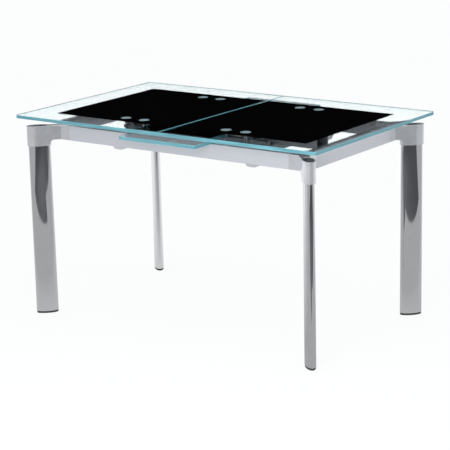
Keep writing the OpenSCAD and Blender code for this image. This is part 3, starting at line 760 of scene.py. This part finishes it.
class DINING_OT_castings(bpy.types.Operator):
    """Corner castings: two wings flush with the rails, a diagonal neck and the sleeve round the leg"""

    bl_idname = "dining_table.castings"
    bl_label = "Corner castings"

    inner_cut = 16 * MM
    inner_round = 6 * MM
    gap = 0.2 * MM
    web_low = 27.6 * MM
    web_high = 20 * MM
    fillet_start = 6 * MM

    def wings(self, place):
        """The two wings as one angled bar, drawn for the back right corner."""
        s = settings().sizes
        rail_low, rail_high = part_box("back_rail")
        end_low, end_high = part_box("right_rail")
        leg = place.translation
        reach = s.neck_width / math.sqrt(2)
        neck_x = leg.x - (leg.y - rail_high.y) - reach
        neck_y = leg.y - (leg.x - end_high.x) - reach
        r, c = s.casting_round, self.inner_cut
        outline = rounded([
            (rail_high.x, rail_high.y), (rail_high.x, rail_low.y), (end_low.x - c, rail_low.y),
            (end_low.x, rail_low.y - c), (end_low.x, end_high.y), (end_high.x, end_high.y),
            (end_high.x, neck_y), (neck_x, rail_high.y),
        ], [0, 0, self.inner_round, self.inner_round, 0, 0, 0, 0], 5)
        bm = bmesh.new()
        slab(bm, outline, rail_low.z, rail_high.z, ease=r, steps=4)
        return bm, (leg.x - neck_x) * math.sqrt(2), rail_low.z, rail_high.z

    def neck(self, place, long, low, high):
        """The neck with the round fillet under it, extruded across its width."""
        s = settings().sizes
        out = leg_halves()[0] + s.sleeve_wall
        edge = out - self.fillet_start
        x, z = -(edge + s.fillet), low - s.fillet
        arc = []
        for k in range(9):
            t = math.pi / 2 * k / 8
            arc.append((x + s.fillet * math.sin(t), z + s.fillet * math.cos(t)))
        side = [Vector(p) for p in [(-long, high), (-long, low), *arc, (0, low - s.fillet), (0, high)]]
        upright = Matrix(((1, 0, 0, 0), (0, 0, -1, 0), (0, 1, 0, 0), (0, 0, 0, 1)))
        bm = bmesh.new()
        half = s.neck_width / 2
        slab(bm, side, -half, half, ease=s.casting_round, steps=4, place=place @ upright)
        return bm

    def sleeve(self, place, low, high):
        """The oval sleeve as a solid, and the cutters for the leg's socket and the cap's recess."""
        s = settings().sizes
        w, g, r, lip = s.sleeve_wall, self.gap, 1.1 * MM, 0.6 * MM
        body, socket, recess = bmesh.new(), bmesh.new(), bmesh.new()
        oval_rings(body, leg_halves(), [
            (w - r, low), (w - 0.3 * r, low + 0.3 * r), (w, low + r), (w, high - r),
            (w - 0.3 * r, high - 0.3 * r), (w - r, high),
        ], place, count=120)
        oval_rings(socket, leg_halves(), [
            (g + lip, low - 5 * MM), (g + lip, low), (g, low + lip), (g, high - self.web_low),
        ], place, count=120)
        oval_rings(recess, leg_halves(), [
            (g, high - self.web_high), (g, high - lip), (g + lip, high), (g + lip, high + 5 * MM),
        ], place, count=120)
        return body, socket, recess

    def execute(self, context):
        place = corner_place("back_right")
        sleeve_low, sleeve_high = (corner.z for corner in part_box("back_right_corner"))
        wings, long, low, high = self.wings(place)
        neck = self.neck(place, long, low, high)
        body, socket, recess = self.sleeve(place, sleeve_low, sleeve_high)
        whole = carved([body, wings, neck], [socket, recess])
        for corner in CORNERS:
            sx = -1 if "left" in corner else 1
            sy = -1 if "front" in corner else 1
            bm = whole.copy()
            bmesh.ops.scale(bm, vec=(sx, sy, 1), verts=bm.verts)
            if sx * sy < 0:
                bmesh.ops.reverse_faces(bm, faces=bm.faces)
            piece_from(bm, corner + "_casting", corner + "_corner")
        whole.free()
        return {"FINISHED"}


class DINING_OT_legs(bpy.types.Operator):
    """Oval chrome legs, their rubber feet and the caps on top of the sleeves"""

    bl_idname = "dining_table.legs"
    bl_label = "Legs, feet and caps"

    cut_end = 0.35 * MM
    bore = 30 * MM
    pad_recess = 0.8 * MM
    plug_gap = 0.2 * MM

    def leg(self, corner, place):
        """The leg's tube, open at the bottom for the foot's plug."""
        wall, e = settings().sizes.leg_wall, self.cut_end
        low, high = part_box(corner + "_leg")
        bm = bmesh.new()
        oval_rings(bm, leg_halves(), [
            (-wall, low.z + self.bore), (-wall, low.z + e), (e - wall, low.z), (-e, low.z),
            (0, low.z + e), (0, high.z - 2 * e), (-2 * e, high.z),
        ], place, count=192)
        piece_from(bm, corner + "_leg_tube", corner + "_leg")

    def foot(self, corner, place):
        """The pad below the leg, rounded at the floor, and the plug inside the tube."""
        low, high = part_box(corner + "_foot")
        floor, pad = low.z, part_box(corner + "_leg")[0].z
        side, plug = -self.pad_recess, -(settings().sizes.leg_wall + self.plug_gap)
        bm = bmesh.new()
        oval_rings(bm, leg_halves(), [
            (side - 2.2 * MM, floor), (side - 0.9 * MM, floor + 0.5 * MM),
            (side - 0.2 * MM, floor + 1.6 * MM), (side, floor + 2.6 * MM), (side, pad - 0.4 * MM),
            (side - 0.4 * MM, pad), (plug, pad), (plug, high.z - MM), (plug - MM, high.z),
        ], place, count=96)
        piece_from(bm, corner + "_foot_pad", corner + "_foot")

    def cap(self, bm, place):
        """A cap with a rounded rim and a slightly dished top."""
        low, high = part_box("sleeve_caps")
        oval_rings(bm, leg_halves(), [
            (-0.5 * MM, low.z), (0, low.z + 0.5 * MM), (0, high.z - 1.1 * MM),
            (-0.3 * MM, high.z - 0.4 * MM), (-1.1 * MM, high.z), (-3.5 * MM, high.z - 0.2 * MM),
            (-6 * MM, high.z - 0.7 * MM),
        ], place, count=96)

    def execute(self, context):
        caps = bmesh.new()
        for corner in CORNERS:
            place = corner_place(corner)
            self.leg(corner, place)
            self.foot(corner, place)
            self.cap(caps, place)
        piece_from(caps, "sleeve_caps_moulded", "sleeve_caps")
        return {"FINISHED"}


# ---- Mechanism ----


class DINING_OT_supports(bpy.types.Operator):
    """Guide channels, hangers, cross bars, central beam and lift brackets"""

    bl_idname = "dining_table.supports"
    bl_label = "Guides and supports"

    def execute(self, context):
        e = settings().sizes.sheet_ease
        eased_piece("front_guide", "front_guide_channel", e)
        eased_piece("back_guide", "back_guide_channel", e)
        eased_piece("guide_hangers", "guide_hanger_arms", 2 * e)
        eased_piece("left_cross_bar", "left_cross_tube", e)
        eased_piece("right_cross_bar", "right_cross_tube", e)
        eased_piece("central_beam", "central_beam_channel", e)
        eased_piece("lift_brackets", "lift_bracket_bars", e)
        return {"FINISHED"}


class DINING_OT_sliders(bpy.types.Operator):
    """Sliders that carry the halves, and the ties that join them"""

    bl_idname = "dining_table.sliders"
    bl_label = "Sliders and ties"

    def execute(self, context):
        e = settings().sizes.sheet_ease
        for side in HALVES:
            eased_piece(side + "_front_slider", side + "_front_slide_bar", e)
            eased_piece(side + "_back_slider", side + "_back_slide_bar", e)
            eased_piece(side + "_cross_tie", side + "_cross_tie_bar", e)
        return {"FINISHED"}


class DINING_OT_synchroniser(bpy.types.Operator):
    """Racks, pinion, shaft, washer and rack guides, which keep the halves moving together"""

    bl_idname = "dining_table.synchroniser"
    bl_label = "Rack and pinion"

    ease = 0.3 * MM

    def execute(self, context):
        e = self.ease
        eased_piece("left_rack", "left_toothed_rack", e)
        eased_piece("right_rack", "right_toothed_rack", e)
        eased_piece("sync_pinion", "pinion_gear", e)
        eased_piece("rack_guides", "rack_guide_strips", 2 * e)
        eased_piece("pinion_shaft", "pinion_shaft_turned", e)
        eased_piece("pinion_washer", "pinion_washer_pressed", e)
        return {"FINISHED"}


class DINING_OT_lift(bpy.types.Operator):
    """The leaf's carrier plate, guide pins and bushes"""

    bl_idname = "dining_table.lift"
    bl_label = "Leaf lift"

    plate_ease = 0.4 * MM
    tip = 1.2 * MM
    bush_ease = 0.7 * MM
    running_gap = 0.05 * MM

    def execute(self, context):
        eased_piece("leaf_carrier", "leaf_carrier_plate", self.plate_ease)
        pins, bushes, tip = bmesh.new(), bmesh.new(), self.tip
        for low, high in solids_of("leaf_guide_pins"):
            pin = (high.x - low.x) / 2
            turned(pins, [
                (pin - tip, low.z), (pin - 0.25 * tip, low.z + 0.6 * tip), (pin, low.z + 1.5 * tip),
                (pin, high.z),
            ], upright_at(low, high), count=40)
        for low, high in solids_of("lift_bushes"):
            slab(bushes, round_outline((high.x - low.x) / 2), low.z, high.z, ease=self.bush_ease, steps=2,
                 hole=round_outline(pin + self.running_gap), place=upright_at(low, high))
        piece_from(pins, "leaf_guide_pins_ground", "leaf_guide_pins")
        piece_from(bushes, "lift_bush_sleeves", "lift_bushes")
        return {"FINISHED"}


# ---- Screws and bolts ----


def socket_screw(bm, place, head, height, shank, length, count=30):
    """Screw whose shank runs down the place's Z axis from a pan head with a hexagon socket. head and shank
    are radii."""
    r, h, tip = head, height, 0.6 * MM
    key, depth = 0.42 * r, 0.6 * h
    profile = [
        (shank - tip, -length), (shank, -length + tip), (shank, 0), (r, 0), (r, 0.35 * h),
        (0.93 * r, 0.68 * h), (0.78 * r, 0.92 * h), (0.6 * r, h), (key, h),
    ]
    rings = [[Vector((*p, z)) for p in round_outline(a, count)] for a, z in profile]
    for z in (h - 0.1 * MM, h - depth):
        rings.append([Vector((*p, z)) for p in hexagon(2 * key, count)])
    skin(bm, [[place @ p for p in ring] for ring in rings])


def hexagon_bolt(bm, low, high, height, shank):
    """Bolt from below, in a box: an eased hexagon head and its shank of a given radius."""
    place, seat, e = upright_at(low, high), low.z + height, 0.5 * MM
    slab(bm, hexagon(high.x - low.x, 36), low.z, seat, ease=e, steps=2, place=place)
    turned(bm, [(shank, seat), (shank, high.z - e), (shank - e, high.z)], place, count=24)


def flat_head_screw(bm, low, high, height):
    """Low head with a round drive, in a box, and a shank of half its width going up."""
    r = (high.x - low.x) / 2
    seat, drive, e = low.z + height, 0.9 * MM, 0.3 * MM
    turned(bm, [
        (0.3 * r, low.z + drive), (0.34 * r, low.z + 0.05 * MM), (0.9 * r, low.z), (r, low.z + e),
        (r, seat), (r / 2, seat), (r / 2, high.z),
    ], upright_at(low, high), count=30)


class DINING_OT_fasteners(bpy.types.Operator):
    """Rail screws, tie screws, leaf screws, stop pins, leg bolts and the bolts of the mechanism"""

    bl_idname = "dining_table.fasteners"
    bl_label = "Screws and bolts"

    def cross_screws(self, node, name, height, shank):
        """Screws that lie across the table, with their heads towards its middle."""
        bm = bmesh.new()
        for low, high in solids_of(node):
            size, centre = high - low, (low + high) / 2
            axis = 0 if size.x > size.y else 1
            out = 1 if centre[axis] > 0 else -1
            inner = low[axis] if out > 0 else high[axis]
            seat = centre.copy()
            seat[axis] = inner + out * height
            direction = Vector((0, 0, 0))
            direction[axis] = -out
            place = Matrix.Translation(seat) @ direction.to_track_quat("Z", "Y").to_matrix().to_4x4()
            socket_screw(bm, place, size.z / 2, height, shank, size[axis] - height)
        piece_from(bm, name, node)

    def upright_screws(self, node, name, height, shank):
        """Screws from above with their heads at the top."""
        bm = bmesh.new()
        for low, high in solids_of(node):
            place = upright_at(low, high) @ Matrix.Translation((0, 0, high.z - height))
            socket_screw(bm, place, (high.x - low.x) / 2, height, shank, high.z - low.z - height)
        piece_from(bm, name, node)

    def execute(self, context):
        self.cross_screws("rail_screws", "rail_screws_turned", height=2.5 * MM, shank=3 * MM)
        self.cross_screws("slide_stop_pins", "slide_stop_pins_turned", height=3 * MM, shank=3.5 * MM)
        for side in HALVES:
            node = side + "_tie_screws"
            self.upright_screws(node, node + "_turned", height=2.8 * MM, shank=2.5 * MM)
        self.upright_screws("leg_bolts", "leg_bolts_turned", height=8 * MM, shank=4 * MM)
        bolts, screws = bmesh.new(), bmesh.new()
        for low, high in solids_of("mechanism_bolts"):
            hexagon_bolt(bolts, low, high, height=4 * MM, shank=3 * MM)
        for low, high in solids_of("leaf_screws"):
            flat_head_screw(screws, low, high, height=2 * MM)
        piece_from(bolts, "mechanism_bolts_formed", "mechanism_bolts")
        piece_from(screws, "leaf_screws_turned", "leaf_screws")
        return {"FINISHED"}


# ---- Studio ----


def studio_floor(colour, glow_share, glow, painted_glow_through_glass, mirrored, towards, reach):
    """Pale floor, clear from underneath. A part of what is seen of it directly is its own glow; seen
    through glass the glow is stronger, painted light that makes the floor behind the glass brighter than
    beside it. Its mirror image is
    a painted reflection: a glow that only mirror rays see, dimmer at the front. Two brightnesses are given
    for it, and towards and reach say along which direction and between which distances they change."""
    f = Finish("studio_floor", Specular_IOR_Level=0.1)
    f.colours(f.noise(0.8, detail=2.0), colour, 0.6, 0.62)
    f.roughness(f.noise(30.0), 0.7, 0.8)
    shine = f.node("ShaderNodeEmission", Color=(*colour, 1))
    # Seen through glass the floor glows more strongly: painted light that makes the floor behind the glass
    # brighter than beside it.
    strength = f.between(f.seen_by("Transmission"), glow, painted_glow_through_glass, 0.0, 1.0)
    f.link(strength, shine.inputs["Strength"])
    direct = f.between(f.seen_by("Camera", "Transmission"), 0.0, glow_share, 0.0, 1.0)
    lit = f.mixed(direct, f.shader.outputs["BSDF"], shine.outputs["Emission"])
    # Painted reflection: mirror rays see the floor as a glow that is dimmer towards the front, not as the
    # lit floor.
    along = f.node("ShaderNodeVectorMath", operation="DOT_PRODUCT")
    f.link(f.where, along.inputs[0])
    along.inputs[1].default_value = (-math.sin(towards), math.cos(towards), 0)
    painted_reflection = f.node("ShaderNodeEmission", Color=(*colour, 1))
    f.link(f.between(along.outputs["Value"], *mirrored, *reach), painted_reflection.inputs["Strength"])
    mirror = f.maths("SUBTRACT", f.seen_by("Glossy"), f.seen_by("Transmission"))
    whole = f.mixed(mirror, lit, painted_reflection.outputs["Emission"])
    side = f.node("ShaderNodeNewGeometry")
    clear = f.node("ShaderNodeBsdfTransparent")
    one_way = f.mixed(side.outputs["Backfacing"], whole, clear.outputs["BSDF"])
    f.link(one_way, f.output.inputs["Surface"])
    return f.material


def reflection_only_dark_finish(name, shade):
    """Matt dark finish of a shade for the sheets that only mirror images and the glass show: painted dark
    reflections.
    """
    f = Finish(name, Specular_IOR_Level=0.0)
    f.colours(f.noise(4.0), shade, 0.9, 1.1)
    f.roughness(f.noise(30.0), 0.8, 0.95)
    return f.material


def area_light(name, place, aim, size, power):
    """Rectangular light aimed at a point, left out of mirror images."""
    light = bpy.data.lights.new(name, "AREA")
    light.shape, light.size, light.size_y, light.energy = "RECTANGLE", size[0], size[1], power
    lamp = bpy.data.objects.new(name, light)
    bpy.context.scene.collection.objects.link(lamp)
    lamp.location = place
    lamp.visible_glossy = False
    lamp.rotation_euler = (Vector(aim) - Vector(place)).to_track_quat("-Z", "Y").to_euler()


class DINING_OT_studio(bpy.types.Operator):
    """Pale floor, soft light and the camera"""

    bl_idname = "dining_table.studio"
    bl_label = "Studio"

    floor_radius = 40.0
    # The floor's look: its glow, the stronger painted glow seen through glass, and the two brightnesses,
    # direction and distances of its painted reflection.
    floor_look = {
        "glow_share": 0.88, "glow": 1.04, "painted_glow_through_glass": 2.4, "mirrored": (0.45, 0.95),
        "towards": math.radians(35.70), "reach": (-0.4, 1.4),
    }
    wall_radius, wall_low, wall_high = 7.0, 0.95, 4.2
    # The wall and floor sheets and their dark shades are seen only in mirror images and the glass: painted
    # dark reflections.
    wall_sheet_reflected_shade = (0.002, 0.002, 0.002)
    cloth = [(-0.36, -2.36), (0.726, -0.867), (1.17, -1.19), (2.41, 0.51), (4.43, -0.96), (2.39, -4.36)]
    cloth_low, cloth_high = 2 * MM, 4 * MM
    floor_sheet_reflected_shade = (0.075, 0.077, 0.082)
    softbox = {
        "place": (1.1, -2.2, 1.3), "aim": (0.45, -0.3, 0.68), "size": (1.2, 0.8), "power": 38,
    }

    def camera(self, scene, s):
        data = bpy.data.cameras.new("studio_camera")
        data.sensor_width, data.lens = 36.0, s.lens
        data.clip_start, data.clip_end = 0.1, 200.0
        data.dof.use_dof = False
        camera = bpy.data.objects.new("studio_camera", data)
        scene.collection.objects.link(camera)
        a, e = s.azimuth, s.elevation
        back = Vector((math.sin(a) * math.cos(e), -math.cos(a) * math.cos(e), math.sin(e)))
        right = Vector((math.cos(a), math.sin(a), 0))
        up = back.cross(right)
        turn = Matrix((right, up, back)).transposed() @ Matrix.Rotation(s.roll, 3, "Z")
        camera.matrix_world = Matrix.Translation(s.camera_place) @ turn.to_4x4()
        scene.camera = camera

    def set_piece(self, scene, name, bm, material):
        made = bpy.data.objects.new(name, mesh_from(bm, name))
        scene.collection.objects.link(made)
        made.data.materials.append(material)
        return made

    def floor(self, scene, s):
        bm = bmesh.new()
        bm.faces.new([bm.verts.new((*p, 0)) for p in round_outline(self.floor_radius, 128)])
        self.set_piece(scene, "studio_floor", bm, studio_floor(s.floor, **self.floor_look))

    def reflection_sheets(self, scene):
        """Dark sheets, well away from the table, that paint dark reflections: one on the floor and one
        round the room.
        The camera, diffuse light and shadows miss them; mirror images show them, and the glass shows the
        second."""
        floor, wall = bmesh.new(), bmesh.new()
        slab(floor, [Vector(p) for p in reversed(self.cloth)], self.cloth_low, self.cloth_high)
        rings = []
        for z in (self.wall_low, self.wall_high):
            rings.append([wall.verts.new((*p, z)) for p in round_outline(self.wall_radius, 96)])
        for k in range(96):
            wall.faces.new((rings[0][k - 1], rings[0][k], rings[1][k], rings[1][k - 1]))
        for name, bm, shade in (
            ("floor_reflection_sheet", floor, self.floor_sheet_reflected_shade), ("wall_reflection_sheet", wall, self.wall_sheet_reflected_shade),
        ):
            made = self.set_piece(scene, name, bm, reflection_only_dark_finish(name, shade))
            made.visible_camera = made.visible_diffuse = made.visible_shadow = False
            made.visible_volume_scatter = False
            made.visible_transmission = bm is wall

    def execute(self, context):
        scene, s = context.scene, settings().studio
        world = bpy.data.worlds.new("studio_room")
        world.use_nodes = True
        room = next(n for n in world.node_tree.nodes if n.type == "BACKGROUND")
        room.inputs["Color"].default_value = (*s.backdrop, 1)
        room.inputs["Strength"].default_value = 1.0
        scene.world = world
        scene.view_settings.view_transform = "Standard"
        self.camera(scene, s)
        self.floor(scene, s)
        if s.painted_dark_reflections:
            self.reflection_sheets(scene)
        area_light("front_softbox", **self.softbox)
        return {"FINISHED"}


# ---- Panel and registration ----

STEPS = ["glass", "lacquer", "discs", "posts", "rails", "castings", "legs", "supports", "sliders",
         "synchroniser", "lift", "fasteners", "studio"]


class DINING_PT_panel(bpy.types.Panel):
    """Sizes and finishes of the table, and a button for each group of pieces"""

    bl_idname = "DINING_PT_panel"
    bl_label = "Dining Table"
    bl_space_type = "VIEW_3D"
    bl_region_type = "UI"
    bl_category = "Dining Table"

    def draw(self, context):
        for group in (settings().sizes, settings().finishes, settings().studio):
            box = self.layout.box()
            for name in group.__annotations__:
                box.prop(group, name)
        for step in STEPS:
            self.layout.operator("dining_table." + step)


CLASSES = [
    TableSizes, TableFinishes, TableStudio, TableSettings, DINING_OT_glass, DINING_OT_lacquer,
    DINING_OT_discs, DINING_OT_posts, DINING_OT_rails, DINING_OT_castings, DINING_OT_legs,
    DINING_OT_supports, DINING_OT_sliders, DINING_OT_synchroniser, DINING_OT_lift,
    DINING_OT_fasteners, DINING_OT_studio, DINING_PT_panel,
]


def register():
    for c in CLASSES:
        bpy.utils.register_class(c)
    bpy.types.Scene.dining_table = PointerProperty(type=TableSettings)


def unregister():
    del bpy.types.Scene.dining_table
    for c in reversed(CLASSES):
        bpy.utils.unregister_class(c)


def main():
    """Builds everything in order."""
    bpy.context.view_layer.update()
    register()
    for step in STEPS:
        getattr(bpy.ops.dining_table, step)()


if __name__ == "__main__":
    main()
